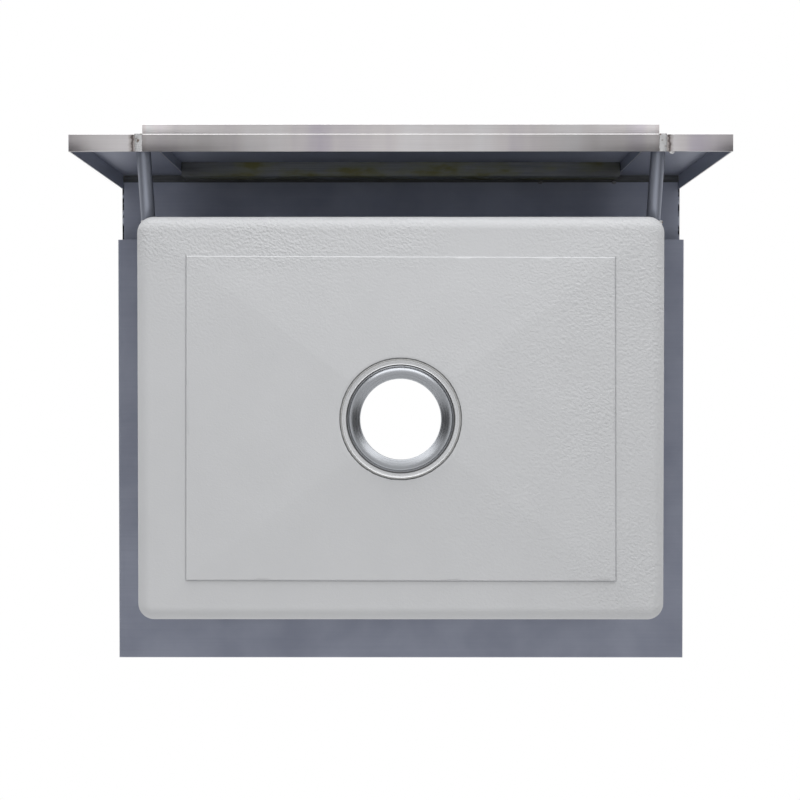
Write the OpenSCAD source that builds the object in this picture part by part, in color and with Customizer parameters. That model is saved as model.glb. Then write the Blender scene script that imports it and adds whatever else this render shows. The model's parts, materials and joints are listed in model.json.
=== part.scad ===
// Mop service sink with an apron front, folded and welded from stainless sheet.
// Millimetres, +Z up, front towards -Y. The origin is the centre of the drain hole,
// on the underside of the drain ring's lip.

/* [Sheet] */
// Thickness of the stainless sheet that every folded piece is made from
sheet = 1.5; // [1:0.1:2.5]

/* [Bowl] */
// Inside length of the bowl, left to right
bowl_l = 590; // [520:1:700]
// Inside width of the bowl, front to back
bowl_w = 450; // [400:1:560]
// Depth of the bowl beside its walls, from the top of the deck
bowl_depth = 240; // [180:1:320]
// Inside radius of the bowl's four upright corners
corner_r = 15; // [14:1:30]
// Inside radius between the walls and the floor
foot_r = 12; // [6:1:13]
// Fall of the floor from the walls to the middle
floor_fall = 7; // [4:0.5:12]

/* [Deck] */
// Width of the deck beside the bowl, left and right
side_rim = 75; // [60:1:110]
// Distance from the bowl's inside to the apron's outer face
front_rim = 93; // [85:1:130]
// Width of the deck behind the bowl
back_rim = 95; // [60:1:140]
// Height of the turned-down edge at the sides and the back
edge_h = 26; // [12:1:35]
// Width of the flat return at the foot of the turned-down edges
edge_return = 54; // [30:1:56]
// Distance from the apron's outer face to where the side edges start
edge_setback = 90; // [60:1:160]
// Open slot between the apron's back and the deck's front edge
slot_w = 9.5; // [4:0.5:14]

/* [Drain] */
// Diameter of the drain hole
drain_d = 90; // [80:0.5:100]
// Outside diameter of the drain ring's collar
collar_d = 118; // [112:1:124]
// Drop from the floor's underside to the lip's underside
collar_drop = 12; // [9:0.5:18]
// Outside radius of the collar's rounded shoulder
shoulder_r = 9; // [5:0.5:10]
// Width of the flat flange that is welded under the floor
ring_flange_w = 7; // [5:0.5:12]
// Rise of the flat seat round the hole above the point where the slopes would meet
seat_rise = 2; // [1:0.25:3]

/* [Sound deadening] */
// Thickness of the sprayed coat on the outside of the bowl
coat_t = 2; // [1:0.1:3]
// Bare steel left between the drain ring's flange and the coat
coat_bare = 1.3; // [0.6:0.1:4]
// Bare wall left between the coat and the deck
coat_top_gap = 6; // [2:0.5:20]
// Length of the rubber pad under the floor
pad_l = 478; // [300:1:490]
// Width of the rubber pad under the floor
pad_w = 360; // [200:1:370]
// Thickness of the rubber pad
pad_t = 1.5; // [1:0.1:3]

/* [Apron] */
// Overall height of the apron
apron_h = 253; // [200:1:330]
// Width of the apron's returned edges at the sides and the bottom
return_w = 20; // [14:0.5:26]
// Inset of the raised panel's ends from the bowl's inside
panel_inset = 7; // [2:0.5:30]
// How far the raised panel stands in front of the wings
panel_proud = 12; // [6:0.5:18]
// Distance from the raised panel's ends to the welded seams of the bottom rail
seam_offset = 4; // [2:0.5:12]
// Height of the bottom rail's upright lip
rail_lip_h = 26; // [12:1:60]
// Overlap of the apron's top return on the deck
top_lap = 17; // [8:0.5:30]
// Thickness of the board glued inside the raised panel
board_t = 18; // [12:0.5:18]
// Height of the board glued inside the raised panel
board_h = 30; // [20:1:60]
// Gap at each end of the board
board_gap = 0.5; // [0.2:0.1:3]

/* [Struts] */
// Diameter of the round struts between the apron and the bowl
strut_d = 16; // [10:0.5:20]
// Inset of the struts' axes from the bowl's inside
strut_inset = 5; // [0:0.5:12]
// Upward tilt of the struts towards the bowl, in degrees
strut_tilt = 18; // [0:1:20]
// Gap between a strut and the bottom return below it
strut_lift = 2; // [0.5:0.5:6]
// Gap between a strut's hollowed end and the coat
strut_gap = 0.3; // [0.2:0.1:1]

/* [Seams] */
// Width of the weld bead across each seam
bead_w = 9; // [5:0.5:12]
// How far the weld bead stands below the return
bead_t = 0.6; // [0.3:0.1:1.5]

/* [Hidden] */

$fn = 64;
// Overlap that lets a cut run clear through a face
over = 1;

steel = "silver";
coat_grey = "gainsboro";

// Heights, from the lip's underside upwards
seat_z = collar_drop;
apex_z = seat_z - seat_rise;
floor_z = apex_z + floor_fall;
deck_z = floor_z + bowl_depth;
deck_top = deck_z + sheet;
apron_top = deck_top + sheet;
apron_z = apron_top - apron_h;
return_top = apron_z + sheet;

// Plan positions
half_l = bowl_l / 2 + side_rim;
wing_y = -bowl_w / 2 - front_rim;
wing_back = wing_y + sheet;
back_y = bowl_w / 2 + back_rim;
deck_front = wing_back + slot_w;
edge_y = wing_y + edge_setback;
edge_z = deck_z - edge_h;
return_y = wing_y + return_w;
lap_y = deck_front + top_lap;
panel_x = bowl_l / 2 - panel_inset;
panel_y = wing_y - panel_proud;
panel_back = panel_y + sheet;
seam_x = panel_x + seam_offset;

// Drain
drain_r = drain_d / 2;
collar_r = collar_d / 2;
ring_flange_r = collar_r + ring_flange_w;
seat_r = ring_flange_r + coat_bare;

// Struts
strut_r = strut_d / 2;
strut_x = bowl_l / 2 - strut_inset;
strut_z = return_top + strut_lift + strut_r / cos(strut_tilt);
strut_l = front_rim + corner_r + strut_r;
corner_x = bowl_l / 2 - corner_r;
corner_y = bowl_w / 2 - corner_r;

// A box between two corners
module block(low, high) {
    translate(low)
        cube(high - low);
}

// Outline of a rectangle with rounded corners
module rounded_outline(l, w, r) {
    square([l - 2 * r, w], center = true);
    square([l, w - 2 * r], center = true);
    for (sx = [-1, 1], sy = [-1, 1])
        translate([sx * (l / 2 - r), sy * (w / 2 - r)])
            circle(r);
}

// Upright section of the tub, w wide, with a rounded foot
module footed_section(w, foot, h) {
    translate([-w / 2 + foot, 0])
        square([w - 2 * foot, h]);
    translate([-w / 2, foot])
        square([w, h - foot]);
    for (side = [-1, 1])
        translate([side * (w / 2 - foot), foot])
            circle(foot);
}

// One quarter of a round column with a rounded foot
module footed_corner(r, foot, h) {
    rotate_extrude(angle = 90) {
        square([r - foot, h]);
        translate([0, foot])
            square([r, h - foot]);
        intersection() {
            translate([r - foot, foot])
                circle(foot);
            square([r, h]);
        }
    }
}

// Solid tub that stands on z = 0, rounded at its corners and its foot
module tub(l, w, r, foot, h) {
    flat_l = l - 2 * r;
    flat_w = w - 2 * r;
    translate([-flat_l / 2, 0, 0])
        rotate([90, 0, 90])
            linear_extrude(flat_l)
                footed_section(w, foot, h);
    translate([0, flat_w / 2, 0])
        rotate([90, 0, 0])
            linear_extrude(flat_w)
                footed_section(l, foot, h);
    for (quarter = [0 : 3]) {
        sx = quarter == 0 || quarter == 3 ? 1 : -1;
        sy = quarter < 2 ? 1 : -1;
        translate([sx * flat_l / 2, sy * flat_w / 2, 0])
            rotate(90 * quarter)
                footed_corner(r, foot, h);
    }
}

// Four flat slopes that fall from the edge, at height 0, to a point in the middle
module floor_slopes(l, w, fall) {
    hl = l / 2;
    hw = w / 2;
    polyhedron(
        points = [
            [-hl, -hw, over], [hl, -hw, over], [hl, hw, over], [-hl, hw, over],
            [-hl, -hw, 0], [hl, -hw, 0], [hl, hw, 0], [-hl, hw, 0],
            [0, 0, -fall]
        ],
        faces = [
            [3, 2, 1, 0],
            [0, 1, 5, 4], [1, 2, 6, 5], [2, 3, 7, 6], [3, 0, 4, 7],
            [4, 5, 8], [5, 6, 8], [6, 7, 8], [7, 4, 8]
        ]
    );
}

// The bowl's form, solid: grow is how far it lies outside the inside faces,
// drop is how far it lies below the floor's top face, top is where it ends
module bowl_form(grow, drop, top) {
    base = floor_z + sheet - drop;
    translate([0, 0, base]) {
        tub(bowl_l + 2 * grow, bowl_w + 2 * grow, corner_r + grow, foot_r + grow, top - base);
        floor_slopes(bowl_l - 2 * corner_r, bowl_w - 2 * corner_r, floor_fall);
    }
}

// A disc on the drain's axis, from one height to another
module disc(r, low, high) {
    translate([0, 0, low])
        cylinder(r = r, h = high - low);
}

// Deck sheet with the bowl's opening and, on three sides, edges turned down and in
module deck() {
    color(steel)
        difference() {
            union() {
                block([-half_l, deck_front, deck_z], [half_l, back_y, deck_top]);
                block([-half_l, back_y - sheet, edge_z], [half_l, back_y, deck_top]);
                block([-half_l, back_y - edge_return, edge_z], [half_l, back_y, edge_z + sheet]);
                for (side = [0, 1])
                    mirror([side, 0, 0]) {
                        block([half_l - sheet, edge_y, edge_z], [half_l, back_y, deck_top]);
                        block([half_l - edge_return, edge_y, edge_z], [half_l, back_y, edge_z + sheet]);
                    }
            }
            translate([0, 0, deck_z - over])
                linear_extrude(sheet + 2 * over)
                    rounded_outline(bowl_l, bowl_w, corner_r);
        }
}

// Bowl with upright walls and a floor that falls to the drain
module bowl() {
    color(steel)
        difference() {
            union() {
                bowl_form(sheet, sheet, deck_z);
                disc(seat_r, seat_z, floor_z);
            }
            difference() {
                bowl_form(0, 0, deck_z + over);
                disc(seat_r, 0, seat_z + sheet);
            }
            disc(seat_r, 0, seat_z);
            disc(seat_r - sheet, seat_z + sheet, floor_z + over);
            disc(collar_r - sheet, 0, floor_z);
        }
}

// Section of the pressed collar, solid from the axis out to r, with a rounded shoulder
module collar_section(r, shoulder, h) {
    square([r - shoulder, h]);
    translate([0, shoulder])
        square([r, h - shoulder]);
    intersection() {
        translate([r - shoulder, shoulder])
            circle(shoulder);
        square([r, shoulder]);
    }
}

// Pressed drain ring: a flange under the floor, a rounded shoulder and a lip
module drain_ring() {
    color("lightgray")
        rotate_extrude($fn = 128)
            difference() {
                union() {
                    collar_section(collar_r, shoulder_r, seat_z);
                    translate([0, seat_z - sheet])
                        square([ring_flange_r, sheet]);
                }
                translate([0, sheet])
                    collar_section(collar_r - sheet, shoulder_r - sheet, seat_z);
                translate([0, -over])
                    square([drain_r, seat_z]);
            }
}

// Space under the floor, from the floor's underside down by depth
module pad_block(l, w, depth) {
    intersection() {
        block([-l / 2, -w / 2, 0], [l / 2, w / 2, floor_z]);
        bowl_form(sheet, sheet + depth, deck_z);
    }
}

// Rubber pad glued under the floor, round the drain ring
module bottom_pad() {
    color("dimgray")
        difference() {
            pad_block(pad_l, pad_w, pad_t);
            bowl_form(sheet, sheet, deck_z);
            disc(seat_r + coat_t, -over, floor_z + over);
        }
}

// Sprayed coat on the bowl's outside, raised over the pad
module sound_coat() {
    color(coat_grey)
        difference() {
            union() {
                bowl_form(sheet + coat_t, sheet + coat_t, deck_z - coat_top_gap);
                pad_block(pad_l + 2 * coat_t, pad_w + 2 * coat_t, pad_t + coat_t);
            }
            bowl_form(sheet, sheet, deck_z);
            difference() {
                pad_block(pad_l, pad_w, pad_t);
                disc(seat_r + coat_t, -over, floor_z + over);
            }
            disc(seat_r, -over, floor_z + over);
        }
}

// Raised middle panel of the apron with its returns
module apron_panel() {
    color(steel) {
        block([-panel_x, panel_y, apron_z], [panel_x, panel_back, apron_top]);
        block([-panel_x, panel_y, apron_z], [panel_x, wing_y, return_top]);
        block([-panel_x, panel_y, deck_top], [panel_x, lap_y, apron_top]);
        for (side = [0, 1])
            mirror([side, 0, 0])
                block([panel_x - sheet, panel_y, return_top], [panel_x, wing_back, apron_top]);
    }
}

// Board glued behind the raised panel, under its top return
module apron_board() {
    end_x = panel_x - sheet - board_gap;
    color("darkkhaki")
        block([-end_x, panel_back, deck_top - board_h], [end_x, panel_back + board_t, deck_top]);
}

// Right-hand wing of the apron with its side, bottom and top returns
module wing() {
    block([panel_x, wing_y, return_top], [half_l, wing_back, apron_top]);
    block([seam_x, wing_y, apron_z], [half_l, return_y, return_top]);
    block([half_l - sheet, wing_y, apron_z], [half_l, return_y, deck_z]);
    block([panel_x, wing_y, deck_top], [half_l, lap_y, apron_top]);
}

// Left wing of the apron
module apron_left_wing() {
    color(steel)
        mirror([1, 0, 0])
            wing();
}

// Right wing of the apron
module apron_right_wing() {
    color(steel)
        wing();
}

// Rail that joins the wings below the raised panel
module apron_bottom_rail() {
    lip_x = panel_x - sheet;
    color(steel) {
        block([-seam_x, wing_y, apron_z], [seam_x, return_y, return_top]);
        block([-lip_x, wing_y, apron_z], [lip_x, wing_back, apron_z + rail_lip_h]);
    }
}

// Right-hand strut: cut flat at the apron and hollowed to the bowl's corner
module strut() {
    low = apron_z - strut_d;
    difference() {
        translate([strut_x, wing_back, strut_z])
            rotate([-90 + strut_tilt, 0, 0])
                translate([0, 0, -strut_d])
                    cylinder(r = strut_r, h = strut_l + strut_d);
        block([strut_x - strut_d, wing_back - 2 * strut_d, low], [strut_x + strut_d, wing_back, deck_z]);
        translate([corner_x, -corner_y, low])
            cylinder(r = corner_r + sheet + coat_t + strut_gap, h = deck_z - low);
        block([strut_x - strut_d, -corner_y, low], [strut_x + strut_d, corner_y, deck_z]);
    }
}

// Left strut
module left_strut() {
    color(steel)
        mirror([1, 0, 0])
            strut();
}

// Right strut
module right_strut() {
    color(steel)
        strut();
}

// Weld bead across the right-hand seam of the bottom return
module seam_weld() {
    block([seam_x - bead_w / 2, wing_y, apron_z - bead_t], [seam_x + bead_w / 2, return_y, apron_z]);
}

// Left seam weld
module left_seam_weld() {
    color("darkgray")
        mirror([1, 0, 0])
            seam_weld();
}

// Right seam weld
module right_seam_weld() {
    color("darkgray")
        seam_weld();
}

deck();
bowl();
drain_ring();
bottom_pad();
sound_coat();
apron_panel();
apron_board();
apron_left_wing();
apron_right_wing();
apron_bottom_rail();
left_strut();
right_strut();
left_seam_weld();
right_seam_weld();
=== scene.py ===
"""Visual model of a mop service sink, seen from below: a welded stainless body with a sprayed coat."""

import json
import math

import bpy
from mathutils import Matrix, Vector, noise

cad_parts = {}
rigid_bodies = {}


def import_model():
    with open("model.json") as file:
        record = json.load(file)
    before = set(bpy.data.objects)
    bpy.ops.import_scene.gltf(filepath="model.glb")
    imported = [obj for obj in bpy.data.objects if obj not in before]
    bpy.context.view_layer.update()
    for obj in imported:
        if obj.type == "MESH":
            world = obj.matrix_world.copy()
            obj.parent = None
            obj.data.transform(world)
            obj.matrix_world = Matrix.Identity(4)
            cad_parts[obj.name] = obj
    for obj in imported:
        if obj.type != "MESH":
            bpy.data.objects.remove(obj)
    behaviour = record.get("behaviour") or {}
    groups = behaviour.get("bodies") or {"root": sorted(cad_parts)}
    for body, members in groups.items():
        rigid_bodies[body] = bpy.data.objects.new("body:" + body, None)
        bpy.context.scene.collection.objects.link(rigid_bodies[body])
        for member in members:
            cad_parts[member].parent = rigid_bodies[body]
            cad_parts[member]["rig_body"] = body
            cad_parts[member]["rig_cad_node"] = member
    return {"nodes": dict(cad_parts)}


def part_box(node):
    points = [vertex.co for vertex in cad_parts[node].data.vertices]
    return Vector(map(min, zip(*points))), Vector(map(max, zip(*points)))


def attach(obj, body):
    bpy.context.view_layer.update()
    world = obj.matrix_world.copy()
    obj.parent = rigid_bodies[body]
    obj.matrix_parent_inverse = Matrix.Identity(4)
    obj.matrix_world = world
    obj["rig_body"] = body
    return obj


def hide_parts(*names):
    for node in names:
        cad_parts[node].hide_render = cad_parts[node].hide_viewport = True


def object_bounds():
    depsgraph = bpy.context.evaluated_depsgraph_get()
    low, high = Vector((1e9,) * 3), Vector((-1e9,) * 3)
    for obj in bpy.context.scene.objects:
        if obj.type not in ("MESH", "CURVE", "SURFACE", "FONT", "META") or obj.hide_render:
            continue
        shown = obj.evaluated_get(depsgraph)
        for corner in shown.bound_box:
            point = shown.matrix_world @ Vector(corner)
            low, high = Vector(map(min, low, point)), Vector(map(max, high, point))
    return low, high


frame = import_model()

bl_info = {
    "name": "Mop Service Sink",
    "version": (1, 0, 0),
    "blender": (4, 5, 0),
    "location": "3D View > Sidebar > Sink",
    "description": "Builds the finished surfaces of an apron-front mop service sink",
    "category": "Add Mesh",
}

MM = 0.001
CAD_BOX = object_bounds()
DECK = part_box("deck")
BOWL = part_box("bowl")
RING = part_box("drain_ring")
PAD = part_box("bottom_pad")
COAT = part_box("sound_coat")
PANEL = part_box("apron_panel")
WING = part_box("apron_right_wing")
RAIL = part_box("apron_bottom_rail")
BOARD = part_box("apron_board")
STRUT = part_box("right_strut")
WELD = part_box("right_seam_weld")


def linear(hex_colour):
    """An sRGB hex colour such as #C8C9CA as linear RGBA."""
    parts = [int(hex_colour[i:i + 2], 16) / 255 for i in (1, 3, 5)]
    return tuple(c / 12.92 if c <= 0.04045 else ((c + 0.055) / 1.055) ** 2.4 for c in parts) + (1.0,)


def length_prop(name, description, default):
    """A length in metres for a property group."""
    return bpy.props.FloatProperty(
        name=name, description=description, default=default, unit="LENGTH", precision=5)


def colour_prop(name, description, hex_colour):
    """A colour for a property group."""
    return bpy.props.FloatVectorProperty(
        name=name, description=description, default=linear(hex_colour),
        subtype="COLOR", size=4, min=0.0, max=1.0)


def power_prop(name, description, watts):
    """A lamp's power in watts for a property group."""
    return bpy.props.FloatProperty(name=name, description=description, default=watts, min=0.0, unit="POWER")


class SinkSheetSettings(bpy.types.PropertyGroup):
    """Sizes and colours of the folded sheet."""

    bend: length_prop("Bend radius", "Outer radius of the sheet's folds", 2.5 * MM)
    end_bend: length_prop("End bend", "Radius where the returns meet the apron's ends", 1 * MM)
    cut_edge: length_prop("Cut edge", "Rounding left on cut and ground edges", 0.25 * MM)
    rim: length_prop("Bowl rim", "Rounding where the deck turns into the bowl", 1.2 * MM)
    opening_r: length_prop("Opening radius", "Corner radius of the bowl's opening", 15 * MM)
    sheet: length_prop("Sheet", "Thickness of the sheet", 1.5 * MM)
    fold: length_prop("Fold", "Reach of the apron's bends from its foot and its face", 4 * MM)
    burr: length_prop("Burr", "Width of the rough strip along a sheared edge", 2 * MM)
    offset: length_prop("Panel offset", "How much higher the panel's return sits than the rail's", 1.2 * MM)
    edge_start: length_prop("Side edge start", "From the wings' face to the deck's side edges", 90 * MM)
    brushed: colour_prop("Brushed steel", "Colour of the brushed outer faces", "#C9C9C8")
    polished: colour_prop("Belt-polished steel", "Colour of the returns under the apron", "#E8E6E8")
    # painted highlight: this near-white colour on the front bends stands in for the light that they reflect
    bright: colour_prop("Burnished steel", "Colour of the bends, burnished by the folding press", "#F8F8F8")
    mill: colour_prop("Mill-finish steel", "Colour of the deck's and the wings' inner faces", "#A9ADBA")
    # drawn steel is also the painted shade on the apron's end bends
    drawn: colour_prop("Drawn steel", "Colour of the struts and the panel's dull back", "#B2B7C5")
    glue: colour_prop("Glue", "Colour of the dried glue behind the panel", "#7A7632")


class SinkRingSettings(bpy.types.PropertyGroup):
    """Sizes and colours of the drain ring."""

    hole_r: length_prop("Hole radius", "Radius of the drain hole", 45 * MM)
    shoulder_r: length_prop("Shoulder radius", "Radius where the pressed part ends", 59 * MM)
    flange_r: length_prop("Flange radius", "Radius of the flange under the floor", RING[1].x)
    flange_z: length_prop("Flange height", "Height of the flange's underside", RING[1].z - 1.5 * MM)
    sheet: length_prop("Sheet", "Thickness of the ring", 1.5 * MM)
    edge: length_prop("Edge", "Rounding at the hole's edge", 0.3 * MM)
    polished: colour_prop("Polished steel", "Colour of the polished ring", "#BBBEC3")
    flange: colour_prop("Flange steel", "Colour of the ring's pale flange", "#D2D3D5")
    # painted shade: the crease's dark colour stands in for the shadow in the groove
    crease: colour_prop("Crease", "Colour of the heat-darkened crease", "#5F5F60")


class SinkCoatSettings(bpy.types.PropertyGroup):
    """Sizes and colours of the coat under the bowl."""

    corner: length_prop("Corner radius", "Outer radius of the coat's upright corners", 18.5 * MM)
    foot: length_prop("Foot radius", "Outer radius between the walls and the floor", 15.5 * MM)
    edge_z: length_prop("Edge height", "Height of the coat's underside beside the walls", 15 * MM)
    fall: length_prop("Fall", "Fall of the floor from the walls to the middle", 7 * MM)
    slope_margin: length_prop("Slope margin", "Distance from the coat to where the slopes start", 18.5 * MM)
    step: length_prop("Pad step", "Height of the coat's step over the pad", 1.5 * MM)
    shoulder: length_prop("Pad shoulder", "Width of the coat's step over the pad", 1 * MM)
    cover: length_prop("Pad cover", "How far the coat's step lies outside the pad", 2 * MM)
    groove: length_prop("Pad groove", "Depth of the groove along the pad's sides and back", 0.8 * MM)
    lip: length_prop("Lip", "Width of the dark feathered lip round the drain", 1 * MM)
    skin: length_prop("Skin", "Thickness of the coat", 1.9 * MM)
    bare_r: length_prop("Bare radius", "Radius of the bare steel round the drain", 67.6 * MM)
    ragged: length_prop("Ragged edge", "How far the coat's edge wanders round the drain", 0.4 * MM)
    wave: length_prop("Unevenness", "Depth of the coat's slow waves", 0.2 * MM)
    colour: colour_prop("Coat", "Colour of the sprayed coat", "#BEBFC1")
    # painted shade: the lip's dark colour stands in for the shadow gap at the coat's edge
    lip_shade: colour_prop("Lip", "Colour of the coat's lip, stained by the polishing", "#5C5D5E")
    rubber: colour_prop("Rubber", "Colour of the pad under the coat", "#2A2B2D")


class SinkWeldSettings(bpy.types.PropertyGroup):
    """Sizes and colours of the welds."""

    ripple: length_prop("Ripple pitch", "Distance between the ripples of a bead", 2.2 * MM)
    rise: length_prop("Rise", "How far a bead stands out of the sheet", 0.9 * MM)
    wander: length_prop("Wander", "How far a bead's surface is uneven", 0.5 * MM)
    tack: length_prop("Tack radius", "Radius of a tack weld", 3 * MM)
    colour: colour_prop("Weld", "Colour of the weld metal", "#D4D4D5")
    tint: colour_prop("Heat tint", "Brown tint beside a weld", "#7D6F64")
    scale: colour_prop("Scale", "Colour of a tack weld that still has its scale", "#78777A")


class SinkStageSettings(bpy.types.PropertyGroup):
    """Camera, lamps and floor."""

    view_length: bpy.props.FloatProperty(
        name="Focal length", description="Camera lens on a 36 mm sensor, in mm",
        default=52.36, min=10.0, max=200.0, unit="CAMERA")
    camera_x: length_prop("Camera X", "Place of the camera side to side", 1.5 * MM)
    camera_y: length_prop("Camera Y", "Place of the camera front to back", -38 * MM)
    camera_z: length_prop("Camera Z", "Place of the camera below the sink", -1291.7 * MM)
    lean_right: bpy.props.FloatProperty(
        name="Lean right", description="Slope of the view towards +X", default=-0.00172, precision=5)
    lean_back: bpy.props.FloatProperty(
        name="Lean back", description="Slope of the view towards +Y", default=0.01289, precision=5)
    floor_z: length_prop("Floor", "Height of the floor", -1.75)
    floor_size: length_prop("Floor size", "Side of the square floor", 30.0)
    floor: colour_prop("Floor colour", "Colour of the plain floor", "#D8D8D8")
    card: colour_prop("Card colour", "Colour of the dark cards at both sides", "#1C1C1E")
    world: bpy.props.FloatProperty(
        name="World light", description="Strength of the even light from all round", default=0.75)
    under_light: power_prop("Front light", "Power of the lamp below and in front of the sink", 10.0)
    fill_light: power_prop("Fill light", "Power of the fill beside it, not seen in the metal", 36.0)
    back_light: power_prop("Back light", "Power of the lamp below and behind the sink", 7.5)
    top_light: power_prop("Top light", "Power of the lamp above the sink", 12.0)


GROUPS = {
    "sink_sheet": SinkSheetSettings,
    "sink_ring": SinkRingSettings,
    "sink_coat": SinkCoatSettings,
    "sink_weld": SinkWeldSettings,
    "sink_stage": SinkStageSettings,
}


# ---------------------------------------------------------------- modelling

def deselect():
    """Leaves object mode with nothing selected."""
    if bpy.context.object and bpy.context.object.mode != "OBJECT":
        bpy.ops.object.mode_set(mode="OBJECT")
    bpy.ops.object.select_all(action="DESELECT")


def activate(piece):
    """Selects one piece alone and makes it active."""
    deselect()
    piece.select_set(True)
    bpy.context.view_layer.objects.active = piece


def close(piece):
    """Goes back to object mode."""
    bpy.ops.object.mode_set(mode="OBJECT")
    return piece


def pick(piece, kind, test=None):
    """Opens a piece in edit mode with what passes the test selected, or everything, and counts it.

    A vertex is tested by its place, an edge by its middle and its run, a face by its centre and normal.
    """
    activate(piece)
    mesh = piece.data
    modes = ("vertices", "edges", "polygons")
    bpy.context.tool_settings.mesh_select_mode = [kind == mode for mode in modes]
    for mode in modes:
        part = getattr(mesh, mode)
        part.foreach_set("select", [test is None] * len(part))
    count = len(getattr(mesh, kind))
    if test:
        count = 0
        for item in getattr(mesh, kind):
            if kind == "vertices":
                hit = test(item.co)
            elif kind == "edges":
                a, b = (mesh.vertices[i].co for i in item.vertices)
                hit = test((a + b) / 2, b - a)
            else:
                hit = test(item.center, item.normal)
            item.select = bool(hit)
            count += bool(hit)
    if not count:
        raise RuntimeError(f"{piece.name}: nothing to work on")
    bpy.ops.object.mode_set(mode="EDIT")
    return count


def cad_copy(node, name):
    """A merged copy of a CAD node's mesh, without the triangles on its flat faces."""
    piece = frame["nodes"][node].copy()
    piece.data = piece.data.copy()
    piece.name = piece.data.name = name
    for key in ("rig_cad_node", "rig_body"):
        if key in piece:
            del piece[key]
    piece.parent = None
    bpy.context.scene.collection.objects.link(piece)
    piece.data.materials.clear()
    pick(piece, "vertices")
    bpy.ops.mesh.remove_doubles(threshold=0.005 * MM)
    bpy.ops.mesh.customdata_custom_splitnormals_clear()
    bpy.ops.mesh.dissolve_limited(angle_limit=math.radians(0.5))
    return close(piece)


def apply_modifier(piece, kind, **settings):
    """Adds a modifier with its settings and applies it."""
    activate(piece)
    modifier = piece.modifiers.new(kind.lower(), kind)
    for key, value in settings.items():
        setattr(modifier, key, value)
    bpy.ops.object.modifier_apply(modifier=modifier.name)


def bevel_edges(piece, radius, segments, test):
    """Rounds the edges that pass the test."""
    pick(piece, "edges", test)
    bpy.ops.mesh.bevel(offset=radius, segments=segments, profile=0.5, affect="EDGES", clamp_overlap=True)
    close(piece)


def soften_edges(piece, width, degrees, segments=2):
    """Rounds every edge that is sharper than the angle."""
    apply_modifier(piece, "BEVEL", width=width, segments=segments, limit_method="ANGLE",
                   angle_limit=math.radians(degrees))


def smooth(piece, degrees=32):
    """Shades a piece smooth except at edges sharper than the angle."""
    activate(piece)
    bpy.ops.object.shade_smooth_by_angle(angle=math.radians(degrees))


def outward(piece):
    """Turns every face outwards."""
    pick(piece, "polygons")
    bpy.ops.mesh.normals_make_consistent(inside=False)
    close(piece)


def settle(piece):
    """Applies the piece's place, so that it sits in its mesh."""
    activate(piece)
    bpy.ops.object.transform_apply(location=True, rotation=True, scale=True)


def finish(piece, material, test=None):
    """Gives a material to the faces that pass the test, or to all of them."""
    if material.name not in piece.data.materials:
        piece.data.materials.append(material)
    index = list(piece.data.materials).index(material)
    for face in piece.data.polygons:
        if test is None or test(face.center, face.normal):
            face.material_index = index


def hand_over(piece, slot, *nodes):
    """Hides the CAD nodes that the piece stands for and hangs the piece on the body it rides on. The slot is
    not used.
    """
    deselect()
    if nodes:
        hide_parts(*nodes)
    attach(piece, "root")


def near(value, target, reach=0.05 * MM):
    """True where a value lies at the target."""
    return abs(value - target) < reach


# ---------------------------------------------------------------- materials

def add_node(tree, kind, inputs=(), stops=(), **settings):
    """Adds a node with its settings, inputs (values, or outputs to link) and ramp stops (place, colour)."""
    made = tree.nodes.new(kind)
    for key, value in settings.items():
        setattr(made, key, value)
    for key, value in dict(inputs).items():
        if isinstance(value, bpy.types.NodeSocket):
            tree.links.new(value, made.inputs[key])
        else:
            made.inputs[key].default_value = value
    if stops:
        elements = made.color_ramp.elements
        while len(elements) < len(stops):
            elements.new(0.5)
        for element, (position, colour) in zip(elements, stops):
            element.position = position
            element.color = colour
    return made


def new_material(name):
    """A named node material, its tree and its Object coordinates."""
    material = bpy.data.materials.new(name)
    material.use_nodes = True
    tree = material.node_tree
    return material, tree, add_node(tree, "ShaderNodeTexCoord").outputs["Object"]


def shade(colour, factor):
    """A colour made darker or lighter."""
    return tuple(min(1.0, c * factor) for c in colour[:3]) + (1.0,)


def grey(value):
    """A neutral linear grey."""
    return (value, value, value, 1.0)


def patches(tree, place, size, detail=2.0, roughness=0.5):
    """Soft random patches: the size is one length, or one for each axis, in metres."""
    sizes = size if isinstance(size, list) else [size] * 3
    scaled = add_node(tree, "ShaderNodeMapping", {"Vector": place, "Scale": [1 / length for length in sizes]})
    return add_node(tree, "ShaderNodeTexNoise", {
        "Vector": scaled.outputs["Vector"], "Scale": 1.0, "Detail": detail, "Roughness": roughness,
    }).outputs["Fac"]


def lines(tree, place, along, width, run):
    """Patches drawn out into lines: width across them and run along one axis, in metres."""
    sizes = [width] * 3
    sizes[along] = run
    return patches(tree, place, sizes, 3.0, 0.6)


def from_middle(tree, place):
    """Distance from the middle of the sink to either side."""
    x = add_node(tree, "ShaderNodeSeparateXYZ", {"Vector": place}).outputs["X"]
    return add_node(tree, "ShaderNodeMath", {0: x}, operation="ABSOLUTE").outputs[0]


def graded(tree, source, start, end, stops):
    """A colour that changes with a distance or a pattern, with stops at shares of the way to its end."""
    share = add_node(tree, "ShaderNodeMapRange", {"Value": source, "From Min": start, "From Max": end})
    return add_node(tree, "ShaderNodeValToRGB", {"Fac": share.outputs["Result"]}, stops).outputs["Color"]


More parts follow.
